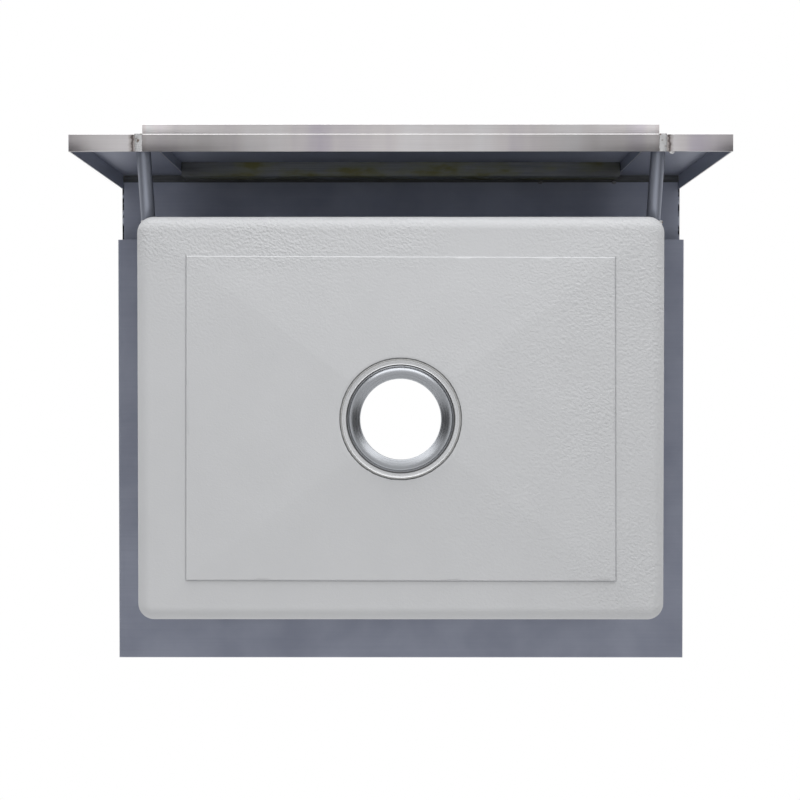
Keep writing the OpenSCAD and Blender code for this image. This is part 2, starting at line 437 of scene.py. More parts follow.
def dress(tree, tone, stops, roughness, reliefs=(), metallic=0.0, wear=None):
    """Finishes a surface. Its colour goes through the stops as the tone rises. Its roughness is one value,
    or two that the wear moves between. Each relief is a pattern and its depth in metres."""
    shader = tree.nodes["Principled BSDF"]
    colours = add_node(tree, "ShaderNodeValToRGB", {"Fac": tone}, stops)
    tree.links.new(colours.outputs["Color"], shader.inputs["Base Color"])
    if wear:
        low, high = roughness
        worn = add_node(tree, "ShaderNodeMapRange", {
            "Value": wear, "From Min": 0.3, "From Max": 0.7, "To Min": low, "To Max": high})
        tree.links.new(worn.outputs["Result"], shader.inputs["Roughness"])
    else:
        shader.inputs["Roughness"].default_value = roughness
    below = {}
    for pattern, depth in reliefs:
        raised = add_node(tree, "ShaderNodeBump", {
            "Height": pattern, "Strength": 1.0, "Distance": depth} | below).outputs["Normal"]
        tree.links.new(raised, shader.inputs["Normal"])
        below = {"Normal": raised}
    shader.inputs["Metallic"].default_value = metallic
    return shader


def overlay(tree, colour, share=1.0, blend="MULTIPLY"):
    """Lays a colour over a finished surface's own."""
    base = tree.nodes["Principled BSDF"].inputs["Base Color"]
    mixed = add_node(
        tree, "ShaderNodeMix", {0: share, 6: base.links[0].from_socket, 7: colour},
        data_type="RGBA", blend_type=blend)
    tree.links.new(mixed.outputs[2], base)


def brushed_stainless(name, along, colour, roughness=0.3, contrast=0.12, grooves=0.02 * MM):
    """Stainless sheet with a brushed grain: fine parallel scratches that blur its reflection."""
    material, tree, place = new_material(name)
    # the real grain is about 0.1 mm; it is drawn 0.8 mm wide so that it shows
    grain = lines(tree, place, along, 0.8 * MM, 90 * MM)
    cloud = patches(tree, place, 110 * MM)
    tone = add_node(tree, "ShaderNodeMix", {0: 0.35, 2: grain, 3: cloud}, data_type="FLOAT").outputs[0]
    low, high = 1 - contrast, 1 + contrast
    dress(tree, tone, [(0.3, shade(colour, low)), (0.7, shade(colour, high))],
          (roughness * low, roughness * high), [(grain, grooves)], 1.0, grain)
    return material


def polished_return_with_painted_reflections(name, settings, seam_x, levels):
    """The returns under the apron, belt-polished after welding, with painted reflections: lighter and darker
    bands along the belt, and straw to brown heat tint beside the two seams, darkest on the outer side. The
    levels are greys of the painted reflection bands at shares of the way from the middle of the apron to its
    ends."""
    material = brushed_stainless(name, 0, settings.polished, 0.3, 0.07, 0.006 * MM)
    tree = material.node_tree
    place = tree.nodes["Texture Coordinate"].outputs["Object"]
    away = from_middle(tree, place)
    # painted reflections: lighter and darker bands from the middle to the ends, alike on both sides
    painted_reflection_bands = graded(tree, away, 0.0, CAD_BOX[1].x, [(share, grey(level)) for share, level in levels])
    stretch = graded(tree, lines(tree, place, 1, 70 * MM, 500 * MM), 0.0, 1.0, [
        (0.3, linear("#E2DDE6")), (0.5, linear("#F6F3F2")), (0.7, linear("#FFFFFF"))])
    # heat tint, from 10 mm inside a seam to 12 mm outside it, broken up by the grinding
    ragged = add_node(tree, "ShaderNodeMath", {
        0: patches(tree, place, 4 * MM, 3.0), 1: 5 * MM, 2: -2.5 * MM}, operation="MULTIPLY_ADD").outputs[0]
    across = add_node(tree, "ShaderNodeMath", {0: away, 1: ragged}, operation="ADD").outputs[0]
    tint = graded(tree, across, seam_x - 10 * MM, seam_x + 12 * MM, [
        (0.0, grey(1.0)), (0.25, linear("#EFEDEC")), (0.45, linear("#CCC8C6")), (0.68, linear("#DDD9D6")),
        (0.75, linear("#7B7471")), (0.8, linear("#8A8380")), (0.85, linear("#D4D0CE")), (1.0, grey(1.0))])
    for layer in (painted_reflection_bands, stretch, tint):
        overlay(tree, layer)
    return material


def mill_stainless(name, colour, along=0, roughness=0.52):
    """Cold-rolled stainless as it comes from the mill: dull grey-blue, with faint roll lines and marks."""
    material, tree, place = new_material(name)
    # the real roll lines are under 0.5 mm; they are drawn 2.5 mm wide so that they show
    roll = lines(tree, place, along, 2.5 * MM, 300 * MM)
    marks = patches(tree, place, 55 * MM, 4.0)
    tone = add_node(tree, "ShaderNodeMix", {0: 0.5, 2: roll, 3: marks}, data_type="FLOAT").outputs[0]
    dress(tree, tone, [(0.32, shade(colour, 0.97)), (0.68, shade(colour, 1.03))],
          (roughness - 0.06, roughness + 0.06), [(roll, 0.02 * MM)], 1.0, marks)
    return material


def sprayed_coat(settings):
    """Water-based sound-deadening coat, sprayed on: matt, with an orange-peel skin."""
    material, tree, place = new_material("sprayed_sound_coat")
    # the spray ran slantwise: its dimples are about 3.5 mm long and 3 mm wide
    slant = add_node(tree, "ShaderNodeMapping", {
        "Vector": place, "Rotation": (0, 0, math.radians(30)), "Scale": (1.2, 1.0, 1.0),
    }, vector_type="TEXTURE").outputs["Vector"]
    peel = patches(tree, slant, 3 * MM, 3.0)
    fine = patches(tree, place, 1.8 * MM, 2.0)
    # the skin is coarse where the gun turned, at the right end and the left front, and smooth elsewhere
    axis = add_node(tree, "ShaderNodeSeparateXYZ", {"Vector": place}).outputs
    right = graded(tree, axis["X"], COAT[0].x, COAT[1].x, [
        (0.0, grey(0.05)), (0.5, grey(0.08)), (0.75, grey(0.35)), (0.92, grey(0.75))])
    left = graded(tree, axis["X"], COAT[0].x, COAT[1].x, [
        (0.0, grey(0.9)), (0.35, grey(1.0)), (0.55, grey(0.5)), (0.7, grey(0.1))])
    front = graded(tree, axis["Y"], COAT[0].y, COAT[1].y, [
        (0.0, grey(1.0)), (0.09, grey(1.0)), (0.14, grey(0.35)), (0.4, grey(0.0))])
    drift = add_node(tree, "ShaderNodeMapRange", {
        "Value": patches(tree, place, 120 * MM, 1.0), "From Min": 0.4, "From Max": 0.6,
        "To Min": 0.55, "To Max": 1.0}).outputs["Result"]
    corner = add_node(tree, "ShaderNodeMath", {0: left, 1: front}, operation="MULTIPLY").outputs[0]
    turns = add_node(tree, "ShaderNodeMath", {0: right, 1: corner}, operation="MAXIMUM").outputs[0]
    lift = add_node(tree, "ShaderNodeMath", {0: turns, 1: drift}, operation="MULTIPLY").outputs[0]
    height = add_node(tree, "ShaderNodeMath", {0: peel, 1: lift}, operation="MULTIPLY").outputs[0]
    dress(tree, patches(tree, place, 60 * MM, 5.0),
          [(0.3, shade(settings.colour, 0.985)), (0.7, shade(settings.colour, 1.015))],
          0.55, [(height, 1.9 * MM), (fine, 0.12 * MM)])
    return material


def polished_ring(name, colour):
    """Pressed and turned stainless, polished on a lathe: bright, with fine rings round the hole."""
    material, tree, place = new_material(name)
    axis = add_node(tree, "ShaderNodeSeparateXYZ", {"Vector": place}).outputs
    flat = add_node(tree, "ShaderNodeCombineXYZ", {"X": axis["X"], "Y": axis["Y"]}).outputs["Vector"]
    radius = add_node(tree, "ShaderNodeVectorMath", {0: flat}, operation="LENGTH").outputs["Value"]
    # the real rings are about 0.1 mm apart; they are drawn 0.9 mm apart so that they show
    turning = add_node(
        tree, "ShaderNodeTexNoise", {"W": radius, "Scale": 1 / (0.9 * MM), "Detail": 2.0},
        noise_dimensions="1D").outputs["Fac"]
    shader = dress(tree, turning, [(0.3, shade(colour, 0.9)), (0.7, shade(colour, 1.06))],
                   (0.24, 0.3), [(turning, 0.015 * MM)], 1.0, turning)
    # the polishing marks run round the hole, so highlights spread across them
    back = add_node(tree, "ShaderNodeMath", {0: axis["Y"], 1: -1.0}, operation="MULTIPLY").outputs[0]
    round_hole = add_node(tree, "ShaderNodeCombineXYZ", {"X": back, "Y": axis["X"]}).outputs["Vector"]
    unit = add_node(tree, "ShaderNodeVectorMath", {0: round_hole}, operation="NORMALIZE").outputs["Vector"]
    tree.links.new(unit, shader.inputs["Tangent"])
    shader.inputs["Anisotropic"].default_value = 0.5
    return material


def weld_metal(name, settings):
    """Ground weld metal: pitted, silver to brown where the heat has tinted it."""
    material, tree, place = new_material(name)
    heat = patches(tree, place, 5 * MM, 2.0)
    pits = patches(tree, place, 1.5 * MM, 3.0)
    dress(tree, heat, [(0.3, settings.tint), (0.42, settings.colour)], 0.34, [(pits, 0.25 * MM)], 1.0)
    return material


def butyl_rubber(settings):
    """Butyl rubber sheet: dark, matt, with a faint calendered grain."""
    material, tree, place = new_material("butyl_rubber_pad")
    grain = patches(tree, place, 0.8 * MM, 3.0)
    dress(tree, grain, [(0.3, shade(settings.rubber, 0.8)), (0.7, shade(settings.rubber, 1.3))],
          0.8, [(grain, 0.1 * MM)])
    return material


def glued_board(settings):
    """Cement board with dried glue: grey, under thin olive smears with a few thick yellow ones."""
    material, tree, place = new_material("cement_board_with_dried_glue")
    layers = lines(tree, place, 0, 3 * MM, 120 * MM)
    glue_smear_and_shade_streak = lines(tree, place, 0, 22 * MM, 60 * MM)
    dress(tree, layers, [(0.35, linear("#7C7F82")), (0.65, linear("#949798"))], 0.5, [(glue_smear_and_shade_streak, 1.5 * MM)])
    # a thin film of glue, then the thick smears, each between two values of the smear and up to a share
    for colour, start, end, most in ((linear("#8A8C6A"), 0.42, 0.56, 0.6), (settings.glue, 0.57, 0.68, 0.8)):
        glue = add_node(tree, "ShaderNodeMapRange", {
            "Value": glue_smear_and_shade_streak, "From Min": start, "From Max": end, "To Max": most}).outputs["Result"]
        overlay(tree, colour, glue, "MIX")
    # painted shade: the board is darker all along and darkest at both ends, in the corners of the recess
    overlay(tree, graded(tree, from_middle(tree, place), 0.0, BOARD[1].x, [
        (0.0, grey(0.85)), (0.7, grey(0.75)), (0.95, grey(0.3))]))
    return material


def sheared_burr(settings):
    """The burr of a sheared sheet edge: mill steel, broken by short black dashes."""
    material = mill_stainless("sheared_edge_with_black_grit", settings.mill, 1, 0.6)
    tree = material.node_tree
    place = tree.nodes["Texture Coordinate"].outputs["Object"]
    dashes = lines(tree, place, 1, 12 * MM, 10 * MM)
    overlay(tree, graded(tree, dashes, 0.0, 1.0, [(0.5, grey(0.02)), (0.6, grey(1.0))]))
    return material


def shaded_lip(settings):
    """Painted shade on the coat's lip round the drain, for the shadow gap at the coat's edge: dark grey and
    dull.
    """
    material, tree, place = new_material("stained_coat_lip")
    colour = settings.lip_shade
    shade_mottle = patches(tree, place, 6 * MM, 2.0)
    dress(tree, shade_mottle, [(0.35, shade(colour, 0.7)), (0.65, shade(colour, 1.6))], 0.7)
    return material


def crevice_shade():
    """Painted shade in the crevice where the apron's top return meets the deck: black, with a soft satin
    shine.
    """
    material, tree, place = new_material("polyurethane_seam_sealer")
    glue_smear_and_shade_streak = lines(tree, place, 0, 2 * MM, 18 * MM)
    dress(tree, glue_smear_and_shade_streak, [(0.35, linear("#2B2C2E")), (0.65, linear("#424548"))], 0.55, [(glue_smear_and_shade_streak, 0.4 * MM)])
    return material


# ---------------------------------------------------------------- pieces

class SINK_OT_deck(bpy.types.Operator):
    """Deck sheet with its folded edges and the bowl's rim"""

    bl_idname = "sink.deck"
    bl_label = "Deck"

    def execute(self, context):
        s = context.scene.sink_sheet
        low, high = DECK
        piece = cad_copy("deck", "deck_sheet")
        side = high.x
        edge_y = WING[0].y + s.edge_start

        def round_fold(level):
            """Rounds the fold along the sides and the back at one height."""
            bevel_edges(piece, s.bend, 5, lambda mid, way: near(mid.z, level) and (
                near(mid.y, high.y) or near(abs(mid.x), side) and mid.y > edge_y + MM))

        round_fold(high.z)
        # the bowl is welded to the deck and the joint is ground round
        straight_x = BOWL[1].x - s.sheet - s.opening_r
        straight_y = BOWL[1].y - s.sheet - s.opening_r
        bevel_edges(piece, s.rim, 4, lambda mid, way: near(mid.z, high.z) and near(math.hypot(
            max(0, abs(mid.x) - straight_x), max(0, abs(mid.y) - straight_y)), s.opening_r, 0.2 * MM))
        # the edges turn in round the same radius
        round_fold(low.z)
        soften_edges(piece, s.cut_edge, 40)
        # cuts for a narrow strip along the sheared edges in front of the folds
        pick(piece, "polygons")
        for x in (side - s.burr, s.burr - side):
            bpy.ops.mesh.select_all(action="SELECT")
            bpy.ops.mesh.bisect(plane_co=(x, 0, 0), plane_no=(1, 0, 0))
        bpy.ops.mesh.select_all(action="SELECT")
        bpy.ops.mesh.bisect(plane_co=(0, edge_y, 0), plane_no=(0, 1, 0))
        close(piece)
        smooth(piece)
        finish(piece, brushed_stainless("brushed_stainless_deck", 0, s.brushed))
        finish(piece, mill_stainless("mill_stainless_deck", s.mill, 0, 0.85), lambda at, way: way.z < -0.5)
        finish(piece, sheared_burr(s), lambda at, way: way.z < -0.5 and at.y < edge_y
               and abs(at.x) > side - s.burr)
        hand_over(piece, "stainless_sheet", "deck")
        return {"FINISHED"}


class SINK_OT_bowl(bpy.types.Operator):
    """Bowl with its brushed inside"""

    bl_idname = "sink.bowl"
    bl_label = "Bowl"

    def execute(self, context):
        s = context.scene.sink_sheet
        piece = cad_copy("bowl", "bowl_shell")
        smooth(piece, 25)
        finish(piece, brushed_stainless("brushed_stainless_bowl", 0, s.brushed, 0.32))
        hand_over(piece, "stainless_sheet", "bowl")
        return {"FINISHED"}


class SINK_OT_drain_ring(bpy.types.Operator):
    """Pressed and polished drain ring"""

    bl_idname = "sink.drain_ring"
    bl_label = "Drain Ring"

    def profile(self, s):
        """Radius and height of the ring's underside, from the hole's edge to the flange's."""
        # the pressed part is a shallow cone at the hole and turns up steeply at its shoulder
        steps, cone, turn = 24, 18, 70
        path = [(0.0, 0.0)]
        for i in range(steps):
            slope = math.radians(cone + turn * ((i + 0.5) / steps) ** 4)
            path.append((path[-1][0] + math.cos(slope), path[-1][1] + math.sin(slope)))
        wide = (s.shoulder_r - s.hole_r - s.edge) / path[-1][0]
        tall = (s.flange_z - s.edge) / path[-1][1]
        points = [(s.hole_r + s.edge + wide * r, tall * z) for r, z in path]
        # the crease where the pressed part turns into the flange, outwards and upwards in mm
        for out, up in ((0.5, 0.0), (1.0, 0.3), (1.5, 0.45), (2.1, 0.3), (2.6, 0.03), (3.2, 0.0)):
            points.append((s.shoulder_r + out * MM, s.flange_z + up * MM))
        points.append((s.flange_r, s.flange_z))
        return points

    def execute(self, context):
        s = context.scene.sink_ring
        points = self.profile(s)
        deselect()
        bpy.ops.mesh.primitive_circle_add(vertices=144, radius=points[0][0], location=(0, 0, 0))
        piece = context.object
        piece.name = piece.data.name = "pressed_drain_ring"
        settle(piece)
        pick(piece, "edges")
        for (r, z), (next_r, next_z) in zip(points, points[1:]):
            bpy.ops.mesh.extrude_edges_move(TRANSFORM_OT_translate={"value": (0, 0, next_z - z)})
            bpy.ops.transform.resize(value=(next_r / r, next_r / r, 1), center_override=(0, 0, next_z))
        close(piece)
        outward(piece)
        if sum(face.normal.z for face in piece.data.polygons) > 0:
            pick(piece, "polygons")
            bpy.ops.mesh.flip_normals()
            close(piece)
        apply_modifier(piece, "SOLIDIFY", thickness=s.sheet, offset=-1.0, use_rim=True)
        soften_edges(piece, 0.25 * MM, 60, 3)
        smooth(piece, 35)
        crease_start, crease_end = s.shoulder_r + 0.6 * MM, s.shoulder_r + 2.2 * MM
        finish(piece, polished_ring("lathe_polished_stainless", s.polished))
        finish(piece, polished_ring("lathe_polished_stainless_flange", s.flange),
               lambda at, way: way.z < 0 and math.hypot(at.x, at.y) > crease_end)
        # painted shade in the crease between the pressed part and the flange
        finish(piece, mill_stainless("heat_darkened_crease", s.crease),
               lambda at, way: way.z < 0 and crease_start < math.hypot(at.x, at.y) < crease_end)
        hand_over(piece, "polished_ring", "drain_ring")
        return {"FINISHED"}


class SINK_OT_sound_coat(bpy.types.Operator):
    """Sprayed coat over the bowl and the pad"""

    bl_idname = "sink.sound_coat"
    bl_label = "Sound Coat"

    def height(self, s, x, y):
        """Height of the coat's underside at a place on the floor."""
        reach_x = COAT[1].x - s.slope_margin
        reach_y = COAT[1].y - s.slope_margin
        a, b = abs(x) / reach_x, abs(y) / reach_y
        # the four slopes meet in folds, and a higher number makes these sharper
        sharpness = 90
        share = min(1.0, (a ** sharpness + b ** sharpness) ** (1 / sharpness))
        margins = [self.pad_margin(x, y, side) / s.shoulder for side in range(4)]
        inside = min(margins)
        rise = max(0.0, min(1.0, inside))
        # the front side was pressed down hard, so the groove runs along the other three alone
        groove = 0.0 if inside == margins[0] else max(0.0, 1 - abs(inside + 0.5) / 0.6)
        return s.edge_z - s.fall * (1 - share) - s.step * rise * rise * (3 - 2 * rise) + s.groove * groove

    def pad_margin(self, x, y, side):
        """Distance from one of the pad's four sides, positive inside it."""
        point, normal = self.pad_sides[side]
        return (x - point[0]) * normal[0] + (y - point[1]) * normal[1]

    def set_pad_sides(self, s):
        """The pad is laid by hand, so each side leans a little, here in radians."""
        half_x, half_y = PAD[1].x + s.cover, PAD[1].y + s.cover
        places = ((0, -half_y), (half_x, 0), (0, half_y), (-half_x, 0))
        leans = (0.0035, -0.004, 0.002, 0.0035)
        turns = [math.radians(90 * index) + lean for index, lean in enumerate(leans)]
        self.pad_sides = [(place, (-math.sin(turn), math.cos(turn))) for place, turn in zip(places, turns)]

    def walls(self, s):
        """The walls: a box with rounded corners and a rounded foot, open at the floor and the top."""
        low, high = COAT
        size = high - low
        deselect()
        bpy.ops.mesh.primitive_cube_add(
            size=1, location=(0, 0, (s.edge_z + high.z) / 2), scale=(size.x, size.y, high.z - s.edge_z))
        piece = bpy.context.object
        piece.name = piece.data.name = "sound_coat_skin"
        settle(piece)
        bevel_edges(piece, s.corner, 12, lambda mid, way: abs(way.z) > 0.1)
        bevel_edges(piece, s.foot, 8, lambda mid, way: near(mid.z, s.edge_z) and abs(way.z) < MM)
        # rows of points along the straight walls, so that the floor's mesh is fine enough
        spacing = 9 * MM
        pick(piece, "polygons")
        for axis in (Vector((1, 0, 0)), Vector((0, 1, 0))):
            half = axis.dot(high) - s.corner
            count = round(2 * half / spacing)
            for i in range(count + 1):
                bpy.ops.mesh.select_all(action="SELECT")
                bpy.ops.mesh.bisect(plane_co=axis * half * (2 * i / count - 1), plane_no=axis)
        close(piece)
        pick(piece, "polygons", lambda at, way: near(at.z, s.edge_z) or near(at.z, high.z))
        bpy.ops.mesh.delete(type="FACE")
        return close(piece)

    def draw_in_floor(self, piece, s):
        """Draws the walls' lower edge in to a circle round the drain, and cuts the floor into rings."""
        pick(piece, "edges", lambda mid, way: near(mid.z, s.edge_z))
        bpy.ops.mesh.extrude_edges_move()
        close(piece)
        lip_r = s.bare_r + s.lip
        for vertex in piece.data.vertices:
            if vertex.select:
                vertex.co *= lip_r / math.hypot(vertex.co.x, vertex.co.y)
                vertex.co.z = s.edge_z
        # the spokes of the floor are its only edges over 60 mm
        pick(piece, "edges", lambda mid, way: near(mid.z, s.edge_z) and abs(way.z) < 0.01 * MM
             and way.length > 60 * MM)
        bpy.ops.mesh.subdivide_edgering(number_cuts=64, interpolation="LINEAR", smoothness=0)
        close(piece)
        pick(piece, "edges", lambda mid, way: math.hypot(mid.x, mid.y) < lip_r + 0.01 * MM)
        bpy.ops.mesh.extrude_edges_move()
        bpy.ops.transform.resize(value=(s.bare_r / lip_r, s.bare_r / lip_r, 1), center_override=(0, 0, 0))
        close(piece)

    def cut_pad_lines(self, piece, s):
        """Cuts the floor along the groove and the step over the pad, at shares of the step's width."""
        for point, normal in self.pad_sides:
            for share in (-1.1, -0.5, 0.1, 0.4, 0.7, 1.0):
                out = s.shoulder * share
                place = (point[0] + normal[0] * out, point[1] + normal[1] * out, 0)
                pick(piece, "polygons", lambda at, way: near(at.z, s.edge_z))
                bpy.ops.mesh.bisect(plane_co=place, plane_no=(normal[0], normal[1], 0))
                close(piece)

    def lay_floor(self, piece, s):
        """Gives the floor its heights, and the edge round the drain its wander."""
        # the edge wanders in steps of about 4 mm, and what lies over 6 mm from it stays
        step, reach = 4 * MM, 6 * MM
        for vertex in piece.data.vertices:
            co = vertex.co
            if near(co.z, s.edge_z, 0.01 * MM):
                co.z = self.height(s, co.x, co.y)
                radius = math.hypot(co.x, co.y)
                turn = Vector((co.x, co.y, 0)).normalized() * s.bare_r
                shift = noise.noise(turn / step) * s.ragged * max(0.0, 1 - (radius - s.bare_r) / reach)
                co.x *= 1 + shift / radius
                co.y *= 1 + shift / radius
                # the lip feathers out towards the steel
                co.z += 0.5 * s.lip * max(0.0, 1 - (radius - s.bare_r) / s.lip)

    def execute(self, context):
        s = context.scene.sink_coat
        self.set_pad_sides(s)
        piece = self.walls(s)
        self.draw_in_floor(piece, s)
        self.cut_pad_lines(piece, s)
        self.lay_floor(piece, s)
        pick(piece, "vertices")
        bpy.ops.mesh.remove_doubles(threshold=0.05 * MM)
        close(piece)
        outward(piece)
        apply_modifier(piece, "SOLIDIFY", thickness=s.skin, offset=-1.0, use_rim=True)
        waves = bpy.data.textures.new("coat_waves", "CLOUDS")
        waves.noise_scale = 50 * MM
        apply_modifier(piece, "DISPLACE", texture=waves, texture_coords="OBJECT", strength=s.wave,
                       mid_level=0.5, direction="NORMAL")
        smooth(piece, 40)
        finish(piece, sprayed_coat(s))
        # painted shade: the dark lip round the drain stands in for the shadow gap there
        finish(piece, shaded_lip(s), lambda at, way: math.hypot(at.x, at.y) < s.bare_r + s.lip)
        hand_over(piece, "sound_coat", "sound_coat")
        pad = frame["nodes"]["bottom_pad"]
        pad.data.materials.clear()
        pad.data.materials.append(butyl_rubber(s))
        return {"FINISHED"}


class SINK_OT_apron(bpy.types.Operator):
    """Apron: raised panel, wings and bottom rail"""

    bl_idname = "sink.apron"
    bl_label = "Apron"

    def folded(self, s, node, name):
        """One piece with its bends, the panel's return raised above the rail's."""
        low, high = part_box(node)
        piece = cad_copy(node, name)
        is_rail = node == "apron_bottom_rail"
        outer = max(abs(low.x), abs(high.x))
        long_edge = 30 * MM
        bevel_edges(piece, s.bend, 6, lambda mid, way: near(mid.y, low.y) and abs(way.x) > long_edge and (
            near(mid.z, low.z) or near(mid.z, high.z) and not is_rail))
        if not is_rail:
            bevel_edges(piece, s.end_bend, 3, lambda mid, way: near(abs(mid.x), outer)
                        and near(mid.z, low.z) and abs(way.y) > 2 * s.end_bend)
        soften_edges(piece, s.cut_edge, 50)
        if node == "apron_panel":
            pick(piece, "vertices", lambda at: at.z < low.z + s.fold)
            bpy.ops.transform.translate(value=(0, 0, s.offset))
            close(piece)
        smooth(piece)
        return piece

    def execute(self, context):
        s = context.scene.sink_sheet
        brushed = brushed_stainless("brushed_stainless_apron", 0, s.brushed)
        seam_x = (WELD[0].x + WELD[1].x) / 2
        # painted reflections along the returns; the panel's levels over 1 near its ends are a painted
        # highlight
        polished = polished_return_with_painted_reflections("belt_polished_stainless_rail", s, seam_x, [
            (0.0, 0.88), (0.3, 0.8), (0.58, 0.6), (0.7, 0.68), (0.82, 0.85), (0.94, 0.8), (1.0, 0.7)])
        panel_return_with_painted_flare = polished_return_with_painted_reflections("belt_polished_stainless_panel", s, seam_x, [
            (0.0, 0.9), (0.4, 0.84), (0.55, 0.88), (0.68, 1.05), (0.72, 1.3), (0.78, 1.4)])
        painted_bend_highlight = brushed_stainless("burnished_stainless_bend", 0, s.bright, 0.22, 0.02, 0.002 * MM)
        mill = mill_stainless("mill_stainless_apron", s.mill)
        # the inner faces that the light only grazes are duller; on the end bends the same darker steel is
        # painted shade
        dull = mill_stainless("dull_stainless_apron", s.drawn, 0, 0.65)
        crevice_shade_material = crevice_shade()
        names = {
            "apron_panel": "raised_apron_panel", "apron_left_wing": "left_apron_wing",
            "apron_right_wing": "right_apron_wing", "apron_bottom_rail": "bottom_apron_rail",
        }
        for node, name in names.items():
            piece = self.folded(s, node, name)
            is_panel = node == "apron_panel"
            low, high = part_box(node)
            outer = max(abs(low.x), abs(high.x))
            foot, back = low.z + s.fold, low.y + s.fold
            finish(piece, brushed)
            finish(piece, mill, lambda at, way: way.y > 0.5 and at.y < back or (
                way.z > 0.5 and at.z < foot) or way.z < -0.5 and at.z > foot)
            finish(piece, dull, lambda at, way: abs(way.x) > 0.9 and way.x * at.x < 0 and near(
                abs(at.x), outer - s.sheet, 0.4 * MM))
            if is_panel:
                finish(piece, dull, lambda at, way: way.y > 0.5 and at.y < back)
            finish(piece, panel_return_with_painted_flare if is_panel else polished, lambda at, way: way.z < -0.2 and at.z < foot)
            # painted highlight: the front bends get a near-white copy of the steel; painted shade: the end
            # bends get the darker dull steel
            finish(piece, painted_bend_highlight, lambda at, way: way.y < -0.17 and way.z < -0.4 and at.z < foot)
            finish(piece, dull, lambda at, way: abs(way.x) > 0.3 and way.z < -0.03 and at.z < foot and (
                abs(at.x) > outer - s.end_bend))
            # painted shade: the top return's underside in the crevice beside the deck is made black
            finish(piece, crevice_shade_material, lambda at, way: way.z < -0.5 and at.z > DECK[0].z)
            hand_over(piece, "stainless_sheet", node)
        return {"FINISHED"}


class SINK_OT_board(bpy.types.Operator):
    """Board glued in the recess behind the raised panel"""

    bl_idname = "sink.board"
    bl_label = "Apron Board"

    def execute(self, context):
        s = context.scene.sink_sheet
        piece = cad_copy("apron_board", "glued_apron_board")
        soften_edges(piece, 0.8 * MM, 40)
        smooth(piece)
        finish(piece, glued_board(s))
        hand_over(piece, "glued_board", "apron_board")
        return {"FINISHED"}


class SINK_OT_struts(bpy.types.Operator):
    """Round struts"""

    bl_idname = "sink.struts"
    bl_label = "Struts"

    def execute(self, context):
        s = context.scene.sink_sheet
        bar = brushed_stainless("drawn_stainless_bar", 1, shade(s.drawn, 0.55), 0.5, 0.02, 0.002 * MM)
        for node in ("left_strut", "right_strut"):
            piece = cad_copy(node, node.replace("_", "_round_"))
            soften_edges(piece, s.cut_edge, 50)
            smooth(piece)
            finish(piece, bar)
            hand_over(piece, "strut_bar", node)
        return {"FINISHED"}


